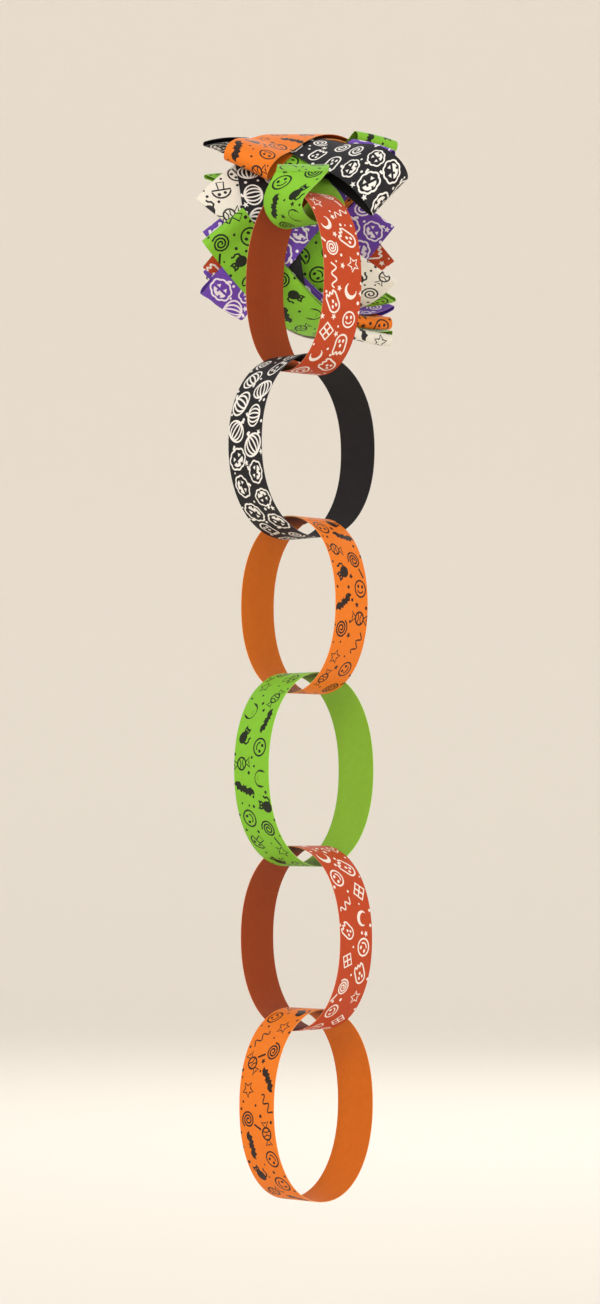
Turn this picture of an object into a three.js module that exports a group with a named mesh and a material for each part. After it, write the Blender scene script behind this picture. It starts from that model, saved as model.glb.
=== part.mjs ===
// A paper chain garland: strips of printed paper, each bent through the last one and glued into a loop.
// Six loops hang open. The rest of the chain is wound into a roll that stays on a rod or a reel.
// Millimetres, +Z up. The roll's axis is X, and the origin is the middle of that axis. The chain hangs
// in front of the roll, on its -Y side.
import * as THREE from 'three';

// The strip that every loop is made of
const STRIP_WIDTH = 25.4;
const PAPER = 0.3;
const LAP = 20;
const LOOP_LENGTH = 254;

// The roll: each loop lies flat around the rod, one pitch further out than the loop that it passes
// through. The gap between a flat loop's two layers is one and a half pitches, so the layers of linked
// loops take turns.
const CORE_RADIUS = 24;
const PITCH = 1.5;
const LAYER_GAP = 1.5 * PITCH;

// The hanging loops
const HANG_Y = -77.8;
const TOP_LOOP_Z = -32.5;
const LINK_CLEARANCE = 0.3;
const OVAL_POWER = 2.15;
const TWIST_TOP = 24;

// The inner part of the roll, which is wound in even turns
const INNER_ADVANCE = 64;
const INNER_HEADING = 52;
const INNER_PAPERS = ['purple', 'rust', 'black', 'cream', 'green', 'rust', 'purple', 'orange'];

// How finely the paper is divided
const HANGING_STEPS = 40;
const FOLD_STEPS = 4;
const OPEN_FOLD_STEPS = 10;
const FITTING_ROUNDS = 6;
const CHORD_RISE = 0.09;
const CROSS_RISE = 0.2;

const UP = new THREE.Vector3(0, 0, 1);

const PAPERS = {
  rust: 0xc4421c,
  black: 0x2b2a30,
  orange: 0xf07a18,
  green: 0x7cc62a,
  purple: 0x6b3aa8,
  cream: 0xe9e4d3,
};

// The open loops from the top down. An open loop is an ellipse, turned about the vertical.
const HANGING = [
  { colour: 'rust', halfHeight: 44.2, halfWidth: 27.6, turn: -46, x: 1.6 },
  { colour: 'black', halfHeight: 44.7, halfWidth: 36.1, turn: 40, x: 1.0 },
  { colour: 'orange', halfHeight: 43.1, halfWidth: 29.5, turn: -38.5, x: 2.0 },
  { colour: 'green', halfHeight: 47.3, halfWidth: 34.4, turn: 41.7, x: 2.1 },
  { colour: 'rust', halfHeight: 45.0, halfWidth: 30.9, turn: -38.2, x: 3.0 },
  { colour: 'orange', halfHeight: 46.9, halfWidth: 32.5, turn: 41.7, x: 3.2 },
];

// The outer loops of the roll, from the loop that holds the open ones. x is the middle of the loop along
// the roll, round is how far round its middle lies from the front, in degrees up and over the top, and
// heading is the way that it runs, from the roll's axis. level counts the pitches from the core. lowLift
// and highLift open the loop's two ends, over a length of reach.
const WOUND = [
  { colour: 'green', x: 1.6, round: 52.5, heading: 90, level: 16, lowLift: 31.8, reach: 21, standOff: 12.9, twist: -47 },
  { colour: 'black', x: 0, round: 63.5, heading: 136, level: 17, lowLift: 13, reach: 42 },
  { colour: 'orange', x: 6, round: 91, heading: 58, level: 18, lowLift: 7, reach: 24 },
  { colour: 'green', x: 4, round: 152, heading: 126, level: 17, lowLift: 4, highLift: 4, reach: 7 },
  { colour: 'cream', x: 0, round: 223, heading: 54, level: 16, lowLift: 1, highLift: 4, reach: 8 },
  { colour: 'green', x: 0, round: 301, heading: 128, level: 15, highLift: 4, reach: 10 },
  { colour: 'purple', x: -1, round: 367, heading: 50, level: 14, lowLift: 4, highLift: 4, reach: 10 },
  { colour: 'black', x: -17, round: 382, heading: 98, level: 13 },
  { colour: 'cream', x: -3, round: 431, heading: 50, level: 12, highLift: 4, reach: 10 },
  { colour: 'rust', x: 3, round: 492, heading: 126, level: 11, highLift: 4, reach: 10 },
  { colour: 'orange', x: 0, round: 561, heading: 54, level: 10, highLift: 4, reach: 10 },
];

// A closed band of paper, divided into steps along its length. place(step, out, across) gives the point
// that lies out from the paper's middle surface and across from its centre line.
function band(steps, acrossSteps, place) {
  const profile = [];
  for (let i = 0; i <= acrossSteps; i += 1) {
    profile.push(new THREE.Vector2(PAPER / 2, (i / acrossSteps - 0.5) * STRIP_WIDTH));
  }
  for (let i = acrossSteps; i >= 0; i -= 1) {
    profile.push(new THREE.Vector2(-PAPER / 2, (i / acrossSteps - 0.5) * STRIP_WIDTH));
  }
  profile.push(profile[0]);
  const radius = LOOP_LENGTH / (2 * Math.PI);
  const ring = profile.map((corner) => new THREE.Vector2(radius + corner.x, corner.y));
  const geometry = new THREE.LatheGeometry(ring, steps);
  const position = geometry.attributes.position;
  for (let i = 0; i < position.count; i += 1) {
    const corner = profile[i % profile.length];
    const step = Math.floor(i / profile.length) % steps;
    const point = place(step, corner.x, corner.y);
    position.setXYZ(i, point.x, point.y, point.z);
  }
  matchDiagonals(geometry.index, acrossSteps);
  geometry.computeVertexNormals();
  return geometry;
}

// Each square of the band is two triangles. On the band's back they are split along the same diagonal as on
// its front, so that the paper keeps its thickness where it twists.
function matchDiagonals(index, acrossSteps) {
  const squaresRound = 2 * acrossSteps + 2;
  for (let square = 0; square < index.count / 6; square += 1) {
    if (square % squaresRound > acrossSteps) {
      const first = index.getX(square * 6);
      const next = index.getX(square * 6 + 3);
      index.setX(square * 6 + 2, next);
      index.setX(square * 6 + 5, first);
    }
  }
}

function paperMesh(name, colour, geometry) {
  const material = new THREE.MeshStandardMaterial({
    color: PAPERS[colour],
    roughness: 0.85,
    metalness: 0,
  });
  const mesh = new THREE.Mesh(geometry, material);
  mesh.name = name;
  return mesh;
}

// An open loop in the XZ plane, its width along Y: an oval a little squarer than an ellipse. The lap,
// where the paper is double, is at the top.
function hangingLoop({ halfHeight, halfWidth }) {
  const lapHalfAngle = LAP / 2 / halfWidth;
  return band(HANGING_STEPS, 1, (step, out, across) => {
    const angle = (2 * Math.PI * step) / HANGING_STEPS;
    const wide = ovalPower(Math.sin(angle), 2 / OVAL_POWER);
    const high = ovalPower(Math.cos(angle), 2 / OVAL_POWER);
    const normal = new THREE.Vector2(
      ovalPower(wide, OVAL_POWER - 1) / halfWidth,
      ovalPower(high, OVAL_POWER - 1) / halfHeight,
    ).normalize();
    const fromTop = Math.min(angle, 2 * Math.PI - angle);
    const lap = out > 0 && fromTop < lapHalfAngle ? PAPER : 0;
    const reach = out + lap;
    return new THREE.Vector3(halfWidth * wide + normal.x * reach, across, halfHeight * high + normal.y * reach);
  });
}

function ovalPower(value, power) {
  return Math.sign(value) * Math.abs(value) ** power;
}

// How far an open loop has curved away from its end, at a given distance along it
function endRise({ halfHeight, halfWidth }, distance) {
  const side = (distance / halfWidth) ** OVAL_POWER;
  return halfHeight * (1 - (1 - side) ** (1 / OVAL_POWER));
}

// How far the end of one open loop lies inside the next, when the corners of their crossing touch
function nesting(above, below) {
  const crossing = THREE.MathUtils.degToRad(Math.abs(above.turn - below.turn));
  const corner = ((STRIP_WIDTH / 2) * (1 + Math.abs(Math.cos(crossing)))) / Math.sin(crossing);
  return endRise(above, corner) + endRise(below, corner) + 2 * PAPER + LINK_CLEARANCE;
}

function smooth(value) {
  return THREE.MathUtils.smoothstep(value, 0, 1);
}

// The side view of a flat loop: points (along, height) round its two layers and the folds between them,
// with the outward normal at each. radius is that of its inner layer.
function flatOutline(halfLength, radius, loop) {
  const { lowLift = 0, highLift = 0, standOff = 0, reach = 30 } = loop;
  const atLow = (along) => 1 - smooth((along + halfLength) / reach);
  const atHigh = (along) => 1 - smooth((halfLength - along) / reach);
  const inner = (along) => standOff * atLow(along);
  const opening = (along) => LAYER_GAP + lowLift * atLow(along) + highLift * atHigh(along);
  const layerSteps = Math.ceil((2 * halfLength) / Math.sqrt(8 * radius * CHORD_RISE));
  const points = [];
  const fold = (end, from) => {
    const half = opening(end) / 2;
    const middle = inner(end) + half;
    const squeeze = (radius + LAYER_GAP / 2) / (radius + middle);
    const steps = half < LAYER_GAP ? FOLD_STEPS : OPEN_FOLD_STEPS;
    for (let i = 1; i < steps; i += 1) {
      const angle = from + (Math.PI * i) / steps;
      points.push(new THREE.Vector2(end + half * squeeze * Math.cos(angle), middle + half * Math.sin(angle)));
    }
  };
  for (let i = 0; i <= layerSteps; i += 1) {
    const along = halfLength * ((2 * i) / layerSteps - 1);
    points.push(new THREE.Vector2(along, inner(along)));
  }
  fold(halfLength, -Math.PI / 2);
  for (let i = 0; i <= layerSteps; i += 1) {
    const along = halfLength * (1 - (2 * i) / layerSteps);
    points.push(new THREE.Vector2(along, inner(along) + opening(along)));
  }
  fold(-halfLength, Math.PI / 2);
  return points;
}

// A loop laid flat round the roll, as a closed band
function woundLoop(loop) {
  const radius = CORE_RADIUS + PITCH * loop.level;
  const middleRadius = radius + LAYER_GAP / 2;
  const heading = THREE.MathUtils.degToRad(loop.heading);
  const middle = THREE.MathUtils.degToRad(loop.round);
  const onRoll = (along, height, across) => {
    const x = loop.x + along * Math.cos(heading) - across * Math.sin(heading);
    const angle = middle + (along * Math.sin(heading) + across * Math.cos(heading)) / middleRadius;
    const out = radius + height;
    return new THREE.Vector3(x, -out * Math.cos(angle), out * Math.sin(angle));
  };
  const lengthOf = (points) => points.reduce((sum, point, i) => {
    const next = points[(i + 1) % points.length];
    return sum + onRoll(point.x, point.y, 0).distanceTo(onRoll(next.x, next.y, 0));
  }, 0);

  let halfLength = LOOP_LENGTH / 4;
  let points = flatOutline(halfLength, radius, loop);
  for (let i = 0; i < FITTING_ROUNDS; i += 1) {
    halfLength += (LOOP_LENGTH - lengthOf(points)) / 4;
    points = flatOutline(halfLength, radius, loop);
  }

  const twist = THREE.MathUtils.degToRad(loop.twist ?? 0);
  const crossTurn = STRIP_WIDTH * Math.abs(Math.cos(heading));
  const acrossSteps = Math.max(1, Math.ceil(crossTurn / Math.sqrt(8 * radius * CROSS_RISE)));
  return band(points.length, acrossSteps, (step, out, across) => {
    const before = points.at(step - 1);
    const after = points[(step + 1) % points.length];
    const normal = new THREE.Vector2(after.y - before.y, before.x - after.x).normalize();
    const along = points[step].x + normal.x * out;
    const height = points[step].y + normal.y * out;
    const point = onRoll(along, height, -across);
    const turn = twist * smooth((TWIST_TOP - point.z) / TWIST_TOP);
    point.y -= HANG_Y;
    point.x -= loop.x;
    point.applyAxisAngle(UP, turn);
    point.y += HANG_Y;
    point.x += loop.x;
    return point;
  });
}

const chain = new THREE.Group();

let loopZ = TOP_LOOP_Z;
HANGING.forEach((loop, index) => {
  if (index > 0) {
    const above = HANGING[index - 1];
    loopZ -= above.halfHeight + loop.halfHeight - nesting(above, loop);
  }
  const number = String(HANGING.length - index).padStart(2, '0');
  const mesh = paperMesh(`link_${number}_${loop.colour}`, loop.colour, hangingLoop(loop));
  mesh.position.set(loop.x, HANG_Y, loopZ);
  mesh.rotation.z = THREE.MathUtils.degToRad(loop.turn);
  chain.add(mesh);
});

const wound = [...WOUND];
INNER_PAPERS.forEach((colour, index) => {
  const last = wound.at(-1);
  const level = last.level - 1;
  const advance = INNER_ADVANCE / (CORE_RADIUS + PITCH * level + LAYER_GAP / 2);
  wound.push({
    colour,
    x: 0,
    round: last.round + THREE.MathUtils.radToDeg(advance),
    heading: index % 2 === 0 ? 180 - INNER_HEADING : INNER_HEADING,
    level,
  });
});
wound.forEach((loop, index) => {
  const number = String(HANGING.length + 1 + index).padStart(2, '0');
  chain.add(paperMesh(`link_${number}_${loop.colour}`, loop.colour, woundLoop(loop)));
});

export default chain;
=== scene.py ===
# %% [markdown]
# # A paper chain garland
# A paper chain is made from strips of printed paper. Each strip is bent through the last loop, and its ends are
# glued. Six loops hang open here, and the rest of the chain is pressed flat and wound into a roll.
#
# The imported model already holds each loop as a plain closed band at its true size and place. This script makes
# the paper that is seen in those same places: thin strips with a glued lap, a print on the outer side, a plain
# back and a pale cut edge.

import bisect
import math
import random

import bpy
from mathutils import Matrix, Vector
from mathutils.geometry import delaunay_2d_cdt


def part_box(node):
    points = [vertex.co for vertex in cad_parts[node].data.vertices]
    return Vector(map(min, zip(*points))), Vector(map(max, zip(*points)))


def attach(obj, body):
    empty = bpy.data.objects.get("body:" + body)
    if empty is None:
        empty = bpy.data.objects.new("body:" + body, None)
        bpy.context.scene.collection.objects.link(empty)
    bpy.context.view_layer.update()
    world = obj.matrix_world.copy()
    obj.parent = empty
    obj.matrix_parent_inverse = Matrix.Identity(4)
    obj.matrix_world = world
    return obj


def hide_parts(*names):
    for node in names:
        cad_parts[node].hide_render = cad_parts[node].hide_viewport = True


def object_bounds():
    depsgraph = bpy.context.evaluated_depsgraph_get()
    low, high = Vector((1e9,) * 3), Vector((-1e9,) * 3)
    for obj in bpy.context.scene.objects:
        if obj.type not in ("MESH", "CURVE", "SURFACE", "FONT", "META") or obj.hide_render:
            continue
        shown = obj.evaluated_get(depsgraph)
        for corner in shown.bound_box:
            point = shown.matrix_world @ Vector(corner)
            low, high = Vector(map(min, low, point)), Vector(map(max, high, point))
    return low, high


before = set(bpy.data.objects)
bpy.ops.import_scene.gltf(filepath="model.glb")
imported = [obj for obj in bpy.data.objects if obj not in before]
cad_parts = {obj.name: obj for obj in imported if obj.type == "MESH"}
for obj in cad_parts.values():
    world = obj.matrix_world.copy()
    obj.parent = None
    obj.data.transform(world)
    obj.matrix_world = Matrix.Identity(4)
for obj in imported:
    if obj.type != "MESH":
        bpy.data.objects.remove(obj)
cad_box = [list(corner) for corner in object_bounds()]
bpy.ops.object.select_all(action="DESELECT")
print("links in the frame:", len(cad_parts))

# %% [markdown]
# ## Sizes
# Lengths are in millimetres while a strip is laid out, and become metres when its mesh is made. The real paper is
# about 0.15 mm thick, and it is drawn a little thicker so that its cut edge can be seen. The roll's measures are
# those of the solid model: every flat loop lies one pitch nearer to the core, or further from it, than the loop
# that it passes through. Near its last end a strip climbs by LAP_LIFT over LAP_SLOPE, to lie on its first end. The
# lap of a wound loop is at one of two shares of the way round.

# %% Sizes
MM = 0.001
STRIP_WIDTH = 25.4
PAPER = 0.22
LAP = 20
LAP_LIFT = 0.3
LAP_SLOPE = 6
LOW_LAP = 0.24
HIGH_LAP = 0.71
LOOP_LENGTH = 254
CORE_RADIUS = 24
PITCH = 1.5
LAYER_GAP = 1.5 * PITCH
HANG_Y = -77.8
OVAL_POWER = 2.15
TWIST_TOP = 24
INNER_ADVANCE = 64
INNER_HEADING = 52
INNER_PAPERS = ["purple", "rust", "black", "cream", "green", "rust", "purple", "orange"]

# The open loops from the top down. turn is in degrees about the vertical, and x is along the roll.
HANGING = [
    {"paper": "rust", "half_height": 44.2, "half_width": 27.6, "turn": -46, "x": 1.6},
    {"paper": "black", "half_height": 44.7, "half_width": 36.1, "turn": 40, "x": 1.0},
    {"paper": "orange", "half_height": 43.1, "half_width": 29.5, "turn": -38.5, "x": 2.0},
    {"paper": "green", "half_height": 47.3, "half_width": 34.4, "turn": 41.7, "x": 2.1},
    {"paper": "rust", "half_height": 45.0, "half_width": 30.9, "turn": -38.2, "x": 3.0},
    {"paper": "orange", "half_height": 46.9, "half_width": 32.5, "turn": 41.7, "x": 3.2},
]

# The outer loops of the roll, from the loop that holds the open ones. round is a loop's place about the roll and
# heading its direction against the roll's axis, in degrees. level counts pitches out from the core. low_lift and
# high_lift open its two ends over a length of reach, stand_off moves the low end off the roll, and twist turns it.
WOUND = [
    {"paper": "green", "x": 1.6, "round": 52.5, "heading": 90, "level": 16, "low_lift": 31.8, "reach": 21,
     "stand_off": 12.9, "twist": -47},
    {"paper": "black", "x": 0, "round": 63.5, "heading": 136, "level": 17, "low_lift": 13, "reach": 42},
    {"paper": "orange", "x": 6, "round": 91, "heading": 58, "level": 18, "low_lift": 7, "reach": 24},
    {"paper": "green", "x": 4, "round": 152, "heading": 126, "level": 17, "low_lift": 4, "high_lift": 4,
     "reach": 7},
    {"paper": "cream", "x": 0, "round": 223, "heading": 54, "level": 16, "low_lift": 1, "high_lift": 4,
     "reach": 8},
    {"paper": "green", "x": 0, "round": 301, "heading": 128, "level": 15, "high_lift": 4, "reach": 10},
    {"paper": "purple", "x": -1, "round": 367, "heading": 50, "level": 14, "low_lift": 4, "high_lift": 4,
     "reach": 10},
    {"paper": "black", "x": -17, "round": 382, "heading": 98, "level": 13},
    {"paper": "cream", "x": -3, "round": 431, "heading": 50, "level": 12, "high_lift": 4, "reach": 10},
    {"paper": "rust", "x": 3, "round": 492, "heading": 126, "level": 11, "high_lift": 4, "reach": 10},
    {"paper": "orange", "x": 0, "round": 561, "heading": 54, "level": 10, "high_lift": 4, "reach": 10},
]

# %% [markdown]
# ## The side view of an open loop
# Paper that is bent into a loop and hung takes a tall oval. It is a little squarer than an ellipse, because paper
# can't bend tightly at the ends. A loop's side view is a list of places with the outward direction at each.


# %% An open loop's side view
def signed_power(value, power):
    return math.copysign(abs(value) ** power, value)


def open_side(loop, steps=132):
    side = []
    for step in range(steps):
        angle = 2 * math.pi * step / steps
        wide = signed_power(math.sin(angle), 2 / OVAL_POWER)
        high = signed_power(math.cos(angle), 2 / OVAL_POWER)
        outward = Vector((
            signed_power(wide, OVAL_POWER - 1) / loop["half_width"],
            signed_power(high, OVAL_POWER - 1) / loop["half_height"],
        ))
        side.append((Vector((loop["half_width"] * wide, loop["half_height"] * high)), outward.normalized()))
    return side


# %% [markdown]
# ## The side view of a wound loop
# A wound loop is pressed flat, so it has an inner layer, an outer layer and a fold at each end. Where the next
# loop pulls an end open, that end swells, and the end that holds the open loops also stands off the roll.


# %% A wound loop's side view
def smooth(value):
    value = min(max(value, 0), 1)
    return value * value * (3 - 2 * value)


def flat_side(half_length, radius, loop):
    reach = loop.get("reach", 30)

    def inner(along):
        return loop.get("stand_off", 0) * (1 - smooth((along + half_length) / reach))

    def opening(along):
        low = loop.get("low_lift", 0) * (1 - smooth((along + half_length) / reach))
        high = loop.get("high_lift", 0) * (1 - smooth((half_length - along) / reach))
        return LAYER_GAP + low + high

    def fold(end, start):
        half = opening(end) / 2
        middle = inner(end) + half
        squeeze = (radius + LAYER_GAP / 2) / (radius + middle)
        steps = 8 if half < LAYER_GAP else 20
        for step in range(1, steps):
            angle = start + math.pi * step / steps
            places.append(Vector((end + half * squeeze * math.cos(angle), middle + half * math.sin(angle))))

    places = []
    layer_steps = math.ceil(2 * half_length / 3)
    layer = [half_length * (2 * step / layer_steps - 1) for step in range(layer_steps + 1)]
    for along in layer:
        places.append(Vector((along, inner(along))))
    fold(half_length, -math.pi / 2)
    for along in reversed(layer):
        places.append(Vector((along, inner(along) + opening(along))))
    fold(-half_length, math.pi / 2)
    side = []
    for index, place in enumerate(places):
        along = places[(index + 1) % len(places)] - places[index - 1]
        side.append((place, Vector((along.y, -along.x)).normalized()))
    return side


# %% [markdown]
# ## From the side view into space
# An open loop stands upright and is turned about the vertical. A wound loop is laid round the roll: its length
# runs at a heading to the roll's axis, and its height is added to the radius. Each loop becomes a function that
# takes a point of the side view and a distance across the strip.


# %% Place a loop in space
def open_place(loop, centre_z):
    turn = Matrix.Rotation(math.radians(loop["turn"]), 3, "Z")
    centre = Vector((loop["x"], HANG_Y, centre_z))
    return lambda point, across: turn @ Vector((point.x, across, point.y)) + centre


def roll_place(loop, radius):
    middle_radius = radius + LAYER_GAP / 2
    heading = math.radians(loop["heading"])
    middle = math.radians(loop["round"])
    axis = Vector((loop["x"], HANG_Y, 0))

    def place(point, across):
        x = loop["x"] + point.x * math.cos(heading) + across * math.sin(heading)
        angle = middle + (point.x * math.sin(heading) - across * math.cos(heading)) / middle_radius
        out = radius + point.y
        spot = Vector((x, -out * math.cos(angle), out * math.sin(angle)))
        turn = math.radians(loop.get("twist", 0)) * smooth((TWIST_TOP - spot.z) / TWIST_TOP)
        return Matrix.Rotation(turn, 3, "Z") @ (spot - axis) + axis

    return place


def distances(side, place):
    """How far round the loop each place is, and last the whole way round."""
    spots = [place(point, 0) for point, outward in side]
    found = [0]
    for index in range(len(spots)):
        found.append(found[-1] + (spots[(index + 1) % len(spots)] - spots[index]).length)
    return found


# %% [markdown]
# ## The chain
# The list below holds every loop with its node's name. A wound loop's length is fitted in a few rounds, so that
# the strip is as long round the loop as every other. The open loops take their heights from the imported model.

# %% List every loop
chain = []
for index, loop in enumerate(HANGING):
    name = f"link_{len(HANGING) - index:02d}_{loop['paper']}"
    low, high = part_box(name)
    centre_z = (low[2] + high[2]) / 2 / MM
    place = open_place(loop, centre_z)
    side = open_side(loop)
    chain.append({"name": name, "paper": loop["paper"], "side": side, "place": place, "lap_at": 0, "columns": 2})

wound = list(WOUND)
for index, paper in enumerate(INNER_PAPERS):
    level = wound[-1]["level"] - 1
    advance = INNER_ADVANCE / (CORE_RADIUS + PITCH * level + LAYER_GAP / 2)
    heading = 180 - INNER_HEADING if index % 2 == 0 else INNER_HEADING
    wound.append({"paper": paper, "x": 0, "round": wound[-1]["round"] + math.degrees(advance), "heading": heading,
                  "level": level})

for index, loop in enumerate(wound):
    name = f"link_{len(HANGING) + 1 + index:02d}_{loop['paper']}"
    radius = CORE_RADIUS + PITCH * loop["level"]
    place = roll_place(loop, radius)
    half_length = LOOP_LENGTH / 4
    for fitting_round in range(5):
        side = flat_side(half_length, radius, loop)
        half_length += (LOOP_LENGTH - distances(side, place)[-1]) / 4
    lap_at = LOOP_LENGTH * (LOW_LAP if index % 3 else HIGH_LAP)
    columns = 2 if loop["heading"] == 90 else 6
    chain.append({"name": name, "paper": loop["paper"], "side": side, "place": place, "lap_at": lap_at,
                  "columns": columns})
print("loops:", len(chain), "open:", len(HANGING))

# %% [markdown]
# ## A pen for the print
# The print is white or dark line drawings on coloured paper. Each drawing is a list of closed outlines, and each
# outline is filled with ink or with bare paper. Later outlines lie on top, so a ring is a disc of ink with a
# smaller disc of paper on it. A pen line is a narrow outline round a path. Each drawing is given the random
# source, so that a dot can vary in size, and the others pay it no heed.

# %% The pen
PEN = 0.85


def circle(radius, x=0, y=0, tall=1, steps=18):
    return [
        Vector((x + radius * math.cos(turn), y + radius * tall * math.sin(turn)))
        for turn in (2 * math.pi * step / steps for step in range(steps))
    ]


def sideways(path, closed):
    """The direction to the left of a path at each of its points."""
    found = []
    for index in range(len(path)):
        before = path[index - 1] if index or closed else path[0]
        after = path[(index + 1) % len(path)] if index < len(path) - 1 or closed else path[-1]
        along = (after - before).normalized()
        found.append(Vector((-along.y, along.x)))
    return found


def line(path, width=PEN):
    """A pen line along an open path."""
    left = sideways(path, False)
    there = [point + side * width / 2 for point, side in zip(path, left)]
    back = [point - side * width / 2 for point, side in zip(path, left)]
    return [(True, there[::-1] + back)]


def ring(path, width=PEN):
    """A pen line round a closed shape that runs anticlockwise, with bare paper inside."""
    left = sideways(path, True)
    outer = [point - side * width / 2 for point, side in zip(path, left)]
    inner = [point + side * width / 2 for point, side in zip(path, left)]
    return [(True, outer), (False, inner)]


def blot(path):
    """A shape filled with ink."""
    return [(True, path)]


def mirrored(half):
    """A closed shape from its right half, listed from the bottom to the top."""
    return half + [Vector((-point.x, point.y)) for point in reversed(half)]


def points(*pairs):
    return [Vector(pair) for pair in pairs]


# %% [markdown]
# ## The drawings
# These are plain party shapes: pumpkins, lollipops, bats, cats, ghosts, faces, sweets, stars, moons and
# mushrooms, each about 10 mm across. They are drawn with a few points or a formula.


# %% Round drawings
def spiral(turns, radius, steps_a_turn=12):
    steps = int(turns * steps_a_turn)
    return [
        Vector((math.cos(angle), math.sin(angle))) * radius * (0.12 + 0.88 * step / steps)
        for step, angle in ((step, 2 * math.pi * step / steps_a_turn) for step in range(steps + 1))
    ]


def lollipop(pick):
    stick = line(points((2.6, -2.6), (4.6, -4.6), (6.8, -6.8)), 1.0)
    return stick + [(False, circle(4.6))] + line(spiral(2.6, 4.3))


def swirl(pick):
    return line(spiral(2.2, 4.4))


def pumpkin(pick):
    stem = line(points((0, 4), (0.3, 5.4), (1.6, 6.2)), 1.3)
    ribs = ring(circle(5.6, tall=0.8, steps=24)) + ring(circle(3.5, tall=1.25)) + ring(circle(1.3, tall=3.2))
    return stem + ribs


def lantern(pick):
    stem = line(points((0, 4), (0.3, 5.4), (1.6, 6.2)), 1.3)
    skin = [point * (0.93 + 0.11 * abs(math.sin(4 * math.atan2(point.y, point.x))))
            for point in circle(5.5, tall=0.82, steps=48)]
    eyes = blot(points((-3.1, 0.5), (-1, 0.5), (-1.8, 2.2))) + blot(points((1, 0.5), (3.1, 0.5), (1.8, 2.2)))
    grin = [Vector((3.6 * math.cos(a), -0.7 + 2.7 * math.sin(a)))
            for a in (math.pi * (1 + i / 9) for i in range(10))]
    teeth = [(False, points((-1.6, -0.6), (-1.6, -1.7), (-0.5, -1.7), (-0.5, -0.6))),
             (False, points((0.5, -3.5), (0.5, -2.3), (1.6, -2.3), (1.6, -3.5)))]
    return stem + ring(skin) + eyes + blot(grin) + teeth


def face(pick):
    eyes = blot(circle(0.75, -1.5, 1.1, 1.3, 9)) + blot(circle(0.75, 1.5, 1.1, 1.3, 9))
    smile = [Vector((2.2 * math.cos(a), 2 * math.sin(a)))
             for a in (math.pi * (1.12 + 0.76 * i / 8) for i in range(9))]
    return ring(circle(4)) + eyes + line(smile, 0.7)


def dot(pick):
    return blot(circle(pick.uniform(0.5, 0.95), steps=9))


# %% Shapes of the sky
def star_path(radius, inner=0.45, arms=5):
    return [
        Vector((-math.sin(a), math.cos(a))) * radius * (1 if step % 2 == 0 else inner)
        for step, a in ((step, math.pi * step / arms) for step in range(2 * arms))
    ]


def star(pick):
    return ring(star_path(3.6), 0.7)


def small_star(pick):
    return blot(star_path(1.7))


def moon_path(radius):
    outer = [Vector((math.cos(a), math.sin(a))) * radius for a in (math.radians(50 + 20 * i) for i in range(14))]
    tips = [outer[0], outer[-1]]
    bend = [Vector((0.28 + 0.72 * math.cos(a), 0.78 * math.sin(a))) * radius
            for a in (math.radians(292 - 22 * i) for i in range(11))]
    return outer + [tips[1].lerp(bend[0], 0.3)] + bend + [bend[-1].lerp(tips[0], 0.7)]


def moon(pick):
    return blot(moon_path(3.8))


def moon_line(pick):
    hollow = [Vector((point.x * 0.72 - 0.75, point.y * 0.76)) for point in moon_path(4.4)]
    return blot(moon_path(4.4)) + [(False, hollow)]


# %% Creatures
def bat(pick):
    wing = points((0, -1.6), (0.8, -0.9), (1.7, -1.9), (2.9, -0.9), (4.3, -1.7), (5.2, -0.1), (7, 0.1), (5.9, 1.9),
                  (3.6, 2.5), (1.9, 1.3), (1.1, 1.4), (1, 2.6), (0.45, 1.9))
    return blot(mirrored(wing))


def cat(pick):
    tail = line(points((2, -3.6), (3.7, -3.5), (4.5, -2), (4, -0.6), (4.6, 0.6)), 1.0)
    body = blot(circle(2.7, 0, -2.2, 1.15, 16))
    head = blot(mirrored(points((0, 0), (1.5, 0.4), (2.1, 1.5), (1.9, 3.9), (0.8, 3.0))))
    eyes = [(False, circle(0.4, -0.8, 1.7, 1, 7)), (False, circle(0.4, 0.8, 1.7, 1, 7))]
    return tail + body + head + eyes


def ghost(pick):
    hem = [Vector((3.2 - 6.4 * i / 16, -4.4 + 0.8 * math.cos(3 * 2 * math.pi * i / 16))) for i in range(17)]
    dome = [Vector((3.1 * math.cos(a), 1.4 + 3.2 * math.sin(a))) for a in (math.pi * i / 12 for i in range(13))]
    eyes = blot(circle(0.65, -1.1, 1.6, 1.4, 9)) + blot(circle(0.65, 1.1, 1.6, 1.4, 9))
    return ring(dome + hem[::-1]) + eyes + blot(circle(0.7, 0, -0.6, 1.3, 9))


# %% Sweets, mushrooms and trimmings
def sweet(pick):
    left = ring(points((-2.4, 0), (-5.6, 2.3), (-4.9, 0), (-5.6, -2.3)), 0.7)
    right = ring(points((2.4, 0), (5.6, -2.3), (4.9, 0), (5.6, 2.3)), 0.7)
    stripe = line(points((-1.2, 2), (-0.4, 0), (-1.2, -2)), 0.6)
    other_stripe = line(points((1.2, 2), (0.6, 0), (1.2, -2)), 0.6)
    return left + right + ring(circle(2.8)) + stripe + other_stripe


def mushroom(pick):
    stem = ring(points((1.2, 0.4), (-1.2, 0.4), (-1.7, -4.2), (1.7, -4.2)), 0.7)
    cap = [Vector((4.4 * math.cos(a), 4.2 * math.sin(a))) for a in (math.pi * i / 12 for i in range(13))]
    return stem + ring(cap) + blot(circle(0.8, -1.6, 1.7, 1, 9)) + blot(circle(0.9, 1.3, 2.3, 1, 9))


def wave(pick):
    return line([Vector((-5.5 + 11 * i / 22, 1.5 * math.sin(2.2 * 2 * math.pi * i / 22))) for i in range(23)], 0.75)


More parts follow.
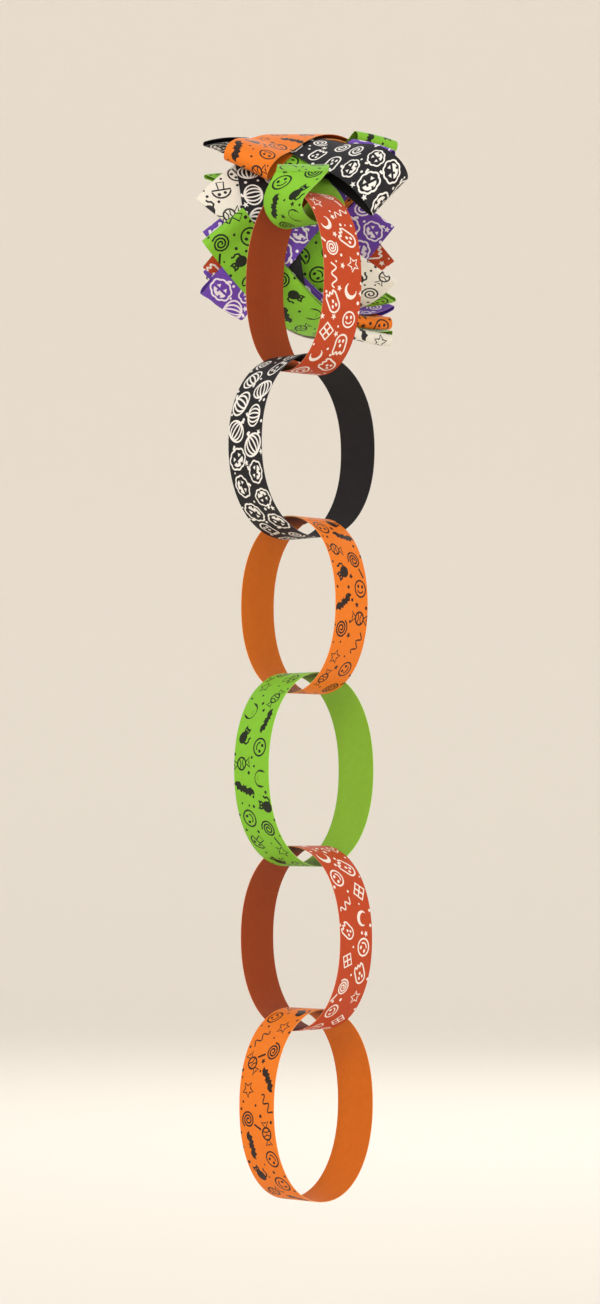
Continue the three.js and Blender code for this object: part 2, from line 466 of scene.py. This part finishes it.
def window(pick):
    square = points((2.9, 2.9), (-2.9, 2.9), (-2.9, -2.9), (2.9, -2.9))
    return ring(square, 1.0) + line(points((0, -2.9), (0, 2.9)), 0.8) + line(points((-2.9, 0), (2.9, 0)), 0.8)


PRINTS = {
    "rust": [ghost, wave, face, lollipop, moon, window, star, ghost],
    "black": [pumpkin, swirl, lantern, pumpkin, ghost, lantern],
    "purple": [lantern, swirl, pumpkin, lantern],
    "green": [lollipop, bat, star, face, moon_line, mushroom, cat, sweet],
    "orange": [face, bat, wave, cat, sweet, star, face, lollipop],
    "cream": [cat, star, sweet, swirl, bat, mushroom],
}
print("drawings:", len({drawing for drawings in PRINTS.values() for drawing in drawings}))

# %% [markdown]
# ## Lay out a print
# Drawings lie in two rows along the strip, half a step apart, and each is turned, moved and sized a little
# differently. Dots and small stars fill the gaps. The print runs off the strip's edges, because the paper is
# printed first and cut afterwards.

# %% Lay out a print
ROW = 6.3
SPACING = 13.5
FILLER_GAP = 5.6


def moved(shapes, place, turn, size):
    rotation = Matrix.Rotation(turn, 2) * size
    return [(ink, [rotation @ point + place for point in path]) for ink, path in shapes]


def lay_out(paper, length, pick):
    drawings = PRINTS[paper]
    order = pick.randrange(len(drawings))
    shapes = []
    centres = []
    count = math.ceil(length / SPACING) + 1
    for step in range(2 * count):
        row = 1 if step % 2 else -1
        place = Vector(((step / 2) * SPACING + pick.uniform(-1, 1), row * ROW + pick.uniform(-1, 1)))
        drawing = drawings[(order + step * 3 + step // len(drawings)) % len(drawings)]
        shapes += moved(drawing(pick), place, pick.uniform(-0.7, 0.7) + math.pi / 2 * pick.choice([0, 1, 2, 3]),
                        pick.uniform(0.95, 1.12))
        centres.append(place)
    for attempt in range(int(length * 1.6)):
        place = Vector((pick.uniform(0, length), pick.uniform(-12.5, 12.5)))
        if all((place - centre).length > FILLER_GAP * (1.2 if index < 2 * count else 0.55)
               for index, centre in enumerate(centres)):
            filler = small_star if pick.random() < 0.2 else dot
            shapes += moved(filler(pick), place, pick.uniform(0, 6), 1)
            centres.append(place)
    return shapes


# %% [markdown]
# ## Cut the flat strip into faces
# A colour boundary that is cut into the mesh stays sharp at any distance, and it can't slide. The flat strip is
# divided into a grid that can bend, and along the outline of every drawing. The triangulation says which outlines
# hold each triangle, and the last of them says whether it is ink or paper. It wants outlines that run
# anticlockwise, so an outline whose spin is negative is turned round.


# %% Cut the flat strip
def cut_strip(lines, columns, shapes):
    across = [STRIP_WIDTH * (column / columns - 0.5) for column in range(columns + 1)]
    spots = [Vector((along, side)) for along in lines for side in across]
    faces = []
    for row in range(len(lines) - 1):
        for column in range(columns):
            first = row * (columns + 1) + column
            faces.append([first, first + columns + 1, first + columns + 2, first + 1])
    cells = len(faces)
    for ink, path in shapes:
        if max(point.x for point in path) < lines[0] or min(point.x for point in path) > lines[-1]:
            faces.append([])
            continue
        spin = sum(before.cross(after) for before, after in zip([path[-1]] + path[:-1], path))
        faces.append(list(range(len(spots), len(spots) + len(path))))
        spots += path if spin > 0 else path[::-1]
    kept = [index for index, face in enumerate(faces) if face]
    cut = delaunay_2d_cdt(spots, [], [faces[index] for index in kept], 0, 1e-4)
    corners, triangles, holders = cut[0], cut[2], cut[5]
    used = []
    inked = []
    for triangle, holder in zip(triangles, holders):
        inside = [kept[index] for index in holder]
        if inside and min(inside) < cells:
            top = max(inside)
            used.append(triangle)
            inked.append(top >= cells and shapes[top - cells][0])
    return corners, used, inked


# %% [markdown]
# ## Bend the strip into its loop
# Each corner's distance along the strip gives its place in the loop's side view. The strip's last end lies on its
# first end, one lap long, where it is glued. Solidify then gives the paper its thickness. It adds the back's faces
# after the front's and the cut edges last, so the four finishes can be given out in that order.


# %% Bend the strip
def bend(link, corners):
    side, place = link["side"], link["place"]
    reached = distances(side, place)
    whole = reached[-1]
    bent = []
    for corner in corners:
        lift = LAP_LIFT * smooth((corner.x - whole + LAP_SLOPE) / LAP_SLOPE)
        along = (corner.x + link["lap_at"] - LAP / 2) % whole
        index = min(bisect.bisect_right(reached, along) - 1, len(side) - 1)
        share = (along - reached[index]) / (reached[index + 1] - reached[index])
        here, there = side[index], side[(index + 1) % len(side)]
        point = here[0].lerp(there[0], share) + here[1].lerp(there[1], share) * lift
        bent.append(place(point, corner.y) * MM)
    return bent


def bend_lines(link):
    """Where the flat strip needs a line across it, so that it can follow the loop."""
    reached = distances(link["side"], link["place"])
    whole = reached[-1]
    starts = (-1, 0, 1, 2)
    lines = {round(at + whole * turn - link["lap_at"] + LAP / 2, 3) for at in reached[:-1] for turn in starts}
    length = whole + LAP
    return [0.0] + sorted(at for at in lines if 0.2 < at < length - 0.2) + [length]


def paper_link(link, number):
    pick = random.Random(100 + number)
    lines = bend_lines(link)
    shapes = lay_out(link["paper"], lines[-1], pick)
    corners, triangles, inked = cut_strip(lines, link["columns"], shapes)
    mesh = bpy.data.meshes.new("strip_" + link["name"])
    mesh.from_pydata(bend(link, corners), [], triangles)
    piece = bpy.data.objects.new("strip_" + link["name"], mesh)
    bpy.context.collection.objects.link(piece)
    bpy.ops.object.select_all(action="DESELECT")
    piece.select_set(True)
    bpy.context.view_layer.objects.active = piece
    thickness = piece.modifiers.new("thickness", "SOLIDIFY")
    thickness.thickness = PAPER * MM
    thickness.offset = 0
    bpy.ops.object.modifier_apply(modifier=thickness.name)
    bpy.ops.object.shade_smooth_by_angle(angle=math.radians(40))
    for kind in ("face", "ink", "back", "edge"):
        mesh.materials.append(finishes[link["paper"]][kind])
    front = len(triangles)
    for index, polygon in enumerate(mesh.polygons):
        if index < front:
            polygon.material_index = int(inked[index])
        else:
            polygon.material_index = 2 if index < 2 * front else 3
    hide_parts(link["name"])
    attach(piece, "root")
    return piece


# %% [markdown]
# ## Paper and ink
# The strips are sheet paper: pressed wood fibres with a matte face. Up close it has a fine tooth, and its colour
# is a little cloudy where the fibres lie thicker. The print is laid on as flat ink, which fills the tooth, so
# inked places are a touch smoother. The back is dyed in one colour and shows the tooth more. The cut edge is pale.
#
# One function turns a hex colour into the linear values that Blender wants, and one adds a node.

# %% Colour and node helpers
def linear(code):
    """The linear values of a hex colour."""
    channels = [int(code[index:index + 2], 16) / 255 for index in (1, 3, 5)]
    return [c / 12.92 if c <= 0.04045 else ((c + 0.055) / 1.055) ** 2.4 for c in channels] + [1]


def add_node(tree, kind, settings=None, values=None, links=None):
    node = tree.nodes.new(kind)
    for name, setting in (settings or {}).items():
        setattr(node, name, setting)
    for name, value in (values or {}).items():
        node.inputs[name].default_value = value
    for name, source in (links or {}).items():
        tree.links.new(source, node.inputs[name])
    return node


# %% Paper
def paper_material(name, code, roughness, cloud, tooth):
    """Sheet paper or ink on it. cloud is how much its colour varies, tooth how rough its fibres lie."""
    material = bpy.data.materials.new(name)
    material.use_nodes = True
    tree = material.node_tree
    tree.nodes.clear()
    place = add_node(tree, "ShaderNodeTexCoord").outputs["Object"]
    # fibre clouds about 3 mm across, and a tooth of about 0.7 mm, drawn coarser than real so that it shows
    clouds = add_node(tree, "ShaderNodeTexNoise", None, {"Scale": 330, "Detail": 4, "Roughness": 0.6},
                      {"Vector": place})
    fibres = add_node(tree, "ShaderNodeTexNoise", None, {"Scale": 1500, "Detail": 3, "Roughness": 0.7,
                      "Distortion": 0.6}, {"Vector": place})
    colour = linear(code)
    dark = [channel * (1 - cloud) for channel in colour[:3]] + [1]
    light = [min(channel * (1 + cloud) + 0.004, 1) for channel in colour[:3]] + [1]
    tint = add_node(tree, "ShaderNodeMix", {"data_type": "RGBA"}, {"A": dark, "B": light},
                    {"Factor": clouds.outputs["Fac"]})
    bump = add_node(tree, "ShaderNodeBump", None, {"Strength": tooth, "Distance": 0.00012},
                    {"Height": fibres.outputs["Fac"]})
    shader = add_node(tree, "ShaderNodeBsdfPrincipled", None,
                      {"Roughness": roughness, "IOR": 1.45, "Specular IOR Level": 0.25},
                      {"Base Color": tint.outputs["Result"], "Normal": bump.outputs["Normal"]})
    add_node(tree, "ShaderNodeOutputMaterial", None, None, {"Surface": shader.outputs["BSDF"]})
    return material


# %% Six printed papers
COLOURS = {
    "rust": {"face": "#BC441C", "ink": "#F1E6DC", "back": "#9E4216"},
    "black": {"face": "#1D1B20", "ink": "#EEEBE6", "back": "#1B181B"},
    "orange": {"face": "#EA7A1B", "ink": "#2B1D17", "back": "#CF6B12"},
    "green": {"face": "#7FBF30", "ink": "#1A2412", "back": "#86B534"},
    "purple": {"face": "#6C44AE", "ink": "#EFE9F2", "back": "#5F3A9E"},
    "cream": {"face": "#E9E4D8", "ink": "#262328", "back": "#D8D3C8"},
}
CUT_EDGE = {"rust": "#E08A66", "black": "#5E5C62", "orange": "#F8AE6C", "green": "#B4E07A", "purple": "#A384D6",
            "cream": "#F2EFE6"}
finishes = {}
for paper, codes in COLOURS.items():
    finishes[paper] = {
        "face": paper_material(f"{paper} printed paper", codes["face"], 0.62, 0.07, 0.35),
        "ink": paper_material(f"{paper} paper ink", codes["ink"], 0.5, 0.03, 0.2),
        "back": paper_material(f"{paper} plain paper back", codes["back"], 0.72, 0.1, 0.5),
        "edge": paper_material(f"{paper} paper cut edge", CUT_EDGE[paper], 0.85, 0.08, 0.4),
    }
print("finishes:", sum(len(kinds) for kinds in finishes.values()))

# %% [markdown]
# ## Make every link
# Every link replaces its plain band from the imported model. Nothing in a paper chain is jointed, so all the links
# ride on the one body.

# %% Make every link
total = 0
for number, link in enumerate(chain):
    piece = paper_link(link, number)
    total += len(piece.data.polygons)
    print(piece.name, len(piece.data.polygons), "faces")
print("faces in all:", total)

# %% [markdown]
# ## Floor and backdrop
# A wide pale bowl stands in for a studio sweep. Its floor curves up into a wall all round, so the garland has a
# plain pale ground behind it from any side.

# %% Floor and backdrop
FLOOR_Z = -0.60
FLOOR_RADIUS = 4.2
CURVE_RADIUS = 1.6
CURVE_STEPS = 8
WALL_HEIGHT = 2.2
bpy.ops.object.select_all(action="DESELECT")
bpy.ops.mesh.primitive_circle_add(vertices=96, radius=FLOOR_RADIUS, fill_type="NGON",
                                  location=(0, 0, FLOOR_Z))
sweep = bpy.context.object
sweep.name = "studio_sweep"
bpy.ops.object.mode_set(mode="EDIT")
bpy.ops.mesh.select_all(action="SELECT")
for step in range(CURVE_STEPS):
    turn = math.radians(90 * (step + 1) / CURVE_STEPS)
    before = math.radians(90 * step / CURVE_STEPS)
    rise = CURVE_RADIUS * (math.cos(before) - math.cos(turn))
    spread = (FLOOR_RADIUS + CURVE_RADIUS * math.sin(turn)) / (FLOOR_RADIUS + CURVE_RADIUS * math.sin(before))
    bpy.ops.mesh.select_mode(type="EDGE")
    bpy.ops.mesh.select_all(action="DESELECT")
    bpy.ops.object.mode_set(mode="OBJECT")
    top = max(vertex.co.z for vertex in sweep.data.vertices)
    for edge in sweep.data.edges:
        edge.select = all(abs(sweep.data.vertices[v].co.z - top) < 1e-5 for v in edge.vertices)
    bpy.ops.object.mode_set(mode="EDIT")
    bpy.ops.mesh.extrude_edges_move(TRANSFORM_OT_translate={"value": (0, 0, rise)})
    bpy.ops.transform.resize(value=(spread, spread, 1), center_override=(0, 0, 0))
bpy.ops.mesh.extrude_edges_move(TRANSFORM_OT_translate={"value": (0, 0, WALL_HEIGHT)})
bpy.ops.object.mode_set(mode="OBJECT")
bpy.ops.object.shade_smooth()
wall = bpy.data.materials.new("matt cream studio paint")
wall.use_nodes = True
wall.node_tree.nodes["Principled BSDF"].inputs["Base Color"].default_value = linear("#EFE9E0")
wall.node_tree.nodes["Principled BSDF"].inputs["Roughness"].default_value = 0.9
sweep.data.materials.append(wall)
print("sweep faces:", len(sweep.data.polygons))

# %% [markdown]
# ## Light and camera
# A large soft light stands on the left, in front, and a weaker one fills the right. One more lights the garland
# from behind, and the last one washes the wall, which would be dark beside the floor. The camera looks straight
# at the chain from the front, level with the hanging loops, and its frame is shifted to hold the whole garland.

# %% Soft lights
def soft_light(name, place, target, size, power, tint):
    data = bpy.data.lights.new(name, "AREA")
    data.size = size
    data.energy = power
    data.color = tint
    lamp = bpy.data.objects.new(name, data)
    lamp.location = place
    lamp.rotation_euler = (Vector(target) - Vector(place)).to_track_quat("-Z", "Y").to_euler()
    lamp.visible_camera = False
    bpy.context.collection.objects.link(lamp)
    return lamp


soft_light("key_light", (-0.9, -2.6, 0.7), (0, 0, -0.2), 1.1, 30, (1, 0.98, 0.95))
soft_light("fill_light", (1.9, -1.9, 0.1), (0, 0, -0.2), 1.6, 14, (1, 0.99, 0.97))
soft_light("back_light", (0.6, 2.2, 1.2), (0, 0, -0.2), 1.4, 16, (1, 0.99, 0.97))
soft_light("wall_light", (0, 1.6, 2.6), (0, 5.8, 0), 2.5, 22, (1, 0.98, 0.95))
world = bpy.data.worlds.new("studio air")
bpy.context.scene.world = world
world.use_nodes = True
world.node_tree.nodes["Background"].inputs["Color"].default_value = (1, 0.985, 0.965, 1)
world.node_tree.nodes["Background"].inputs["Strength"].default_value = 0.82

# %% Camera
CAMERA_DISTANCE = 1.95
CAMERA_HEIGHT = -0.296
VIEW_HEIGHT = 0.64
lens = bpy.data.cameras.new("camera")
lens.sensor_fit = "VERTICAL"
lens.sensor_height = 36
lens.sensor_width = 36
lens.lens = 36 * CAMERA_DISTANCE / VIEW_HEIGHT
camera = bpy.data.objects.new("camera", lens)
camera.location = (0, HANG_Y * MM - CAMERA_DISTANCE, CAMERA_HEIGHT)
camera.rotation_euler = (math.pi / 2, 0, 0)
middle = (cad_box[0][2] + cad_box[1][2]) / 2
lens.shift_y = (middle - CAMERA_HEIGHT) / VIEW_HEIGHT
bpy.context.collection.objects.link(camera)
bpy.context.scene.camera = camera
bpy.context.scene.view_settings.view_transform = "Standard"
print("lens:", round(lens.lens, 1), "mm, shift:", round(lens.shift_y, 3))
